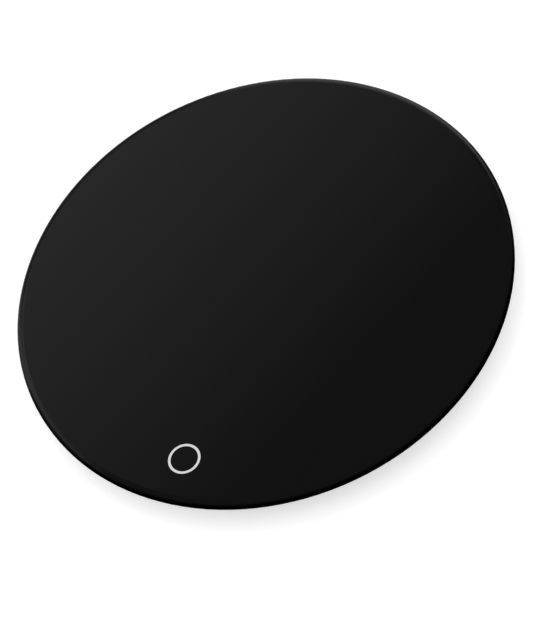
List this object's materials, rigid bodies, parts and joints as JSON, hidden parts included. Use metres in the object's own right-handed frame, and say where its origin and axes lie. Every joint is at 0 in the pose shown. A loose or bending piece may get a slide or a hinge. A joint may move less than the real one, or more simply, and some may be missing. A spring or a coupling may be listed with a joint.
{
  "type": "lighted vanity mirror",
  "caption": "Slim round rechargeable vanity mirror with dark dead-front glass, a white touch ring, a hidden side light band and a fold-out back stand.",
  "frame": {"origin": "middle of the footprint, on the surface the mirror lies on", "axes": "+Z out of the mirror face, -Y towards the touch ring at the bottom of the face, +X to the charging socket"},
  "size_m": [0.22, 0.22, 0.014],
  "materials": {
    "mirror_face": "polished, dark two-way silvering, unlit",
    "ring_enamel": "smooth white enamel fill",
    "sensor_foil": "copper foil on a thin board",
    "foam_tape": "dark closed-cell foam tape",
    "frosted_band": "frosted opal acrylic",
    "flex_circuit": "white solder mask",
    "led_phosphor": "yellow phosphor gel in white frames",
    "chassis_abs": "moulded white ABS",
    "cover_abs": "fine spark-eroded texture, charcoal black",
    "black_screw": "black zinc plate",
    "foot_rubber": "soft matt rubber",
    "bracket_steel": "folded steel strip, zinc plated",
    "pin_steel": "turned stainless steel",
    "washer_bronze": "phosphor bronze",
    "stand_alloy": "brushed and anodised graphite grey",
    "pouch_foil": "satin laminated foil",
    "board_mask": "green solder mask",
    "chip_resin": "moulded black resin",
    "plug_nylon": "natural nylon",
    "socket_steel": "nickel-plated steel",
    "light_pipe": "clear acrylic, its outer end blasted",
    "lead_sleeve": "soft silicone sleeves, the inner lead red and the outer black",
    "lead_white": "soft white silicone sleeve"
  },
  "bodies": {
    "mirror": {"mirror_glass": "mirror_face", "touch_ring": "ring_enamel", "touch_sensor": "sensor_foil", "glass_tape": "foam_tape", "light_band": "frosted_band", "led_strip": "flex_circuit", "led_chips": "led_phosphor", "chassis": "chassis_abs", "back_cover": "cover_abs", "cover_screws": "black_screw", "rubber_feet": "foot_rubber", "hinge_bracket_left": "bracket_steel", "hinge_bracket_right": "bracket_steel", "bracket_screws": "black_screw", "hinge_pin": "pin_steel", "friction_washers": "washer_bronze", "battery_pad": "foam_tape", "battery": "pouch_foil", "battery_guard_board": "board_mask", "control_board": "board_mask", "board_components": "chip_resin", "board_plugs": "plug_nylon", "board_screws": "black_screw", "socket_shell": "socket_steel", "socket_tongue": "chip_resin", "charge_light_pipe": "light_pipe", "battery_leads": "lead_sleeve", "led_leads": "lead_white", "touch_lead": "lead_white"},
    "stand": {"kickstand": "stand_alloy", "stand_tip_pad": "foot_rubber"}
  },
  "joints": [
    {"name": "stand_hinge", "type": "hinge", "parent": "mirror", "child": "stand", "pos_m": [0, 0.035, 0.0036], "axis": [1, 0, 0], "range_deg": [0, 60]}
  ]
}
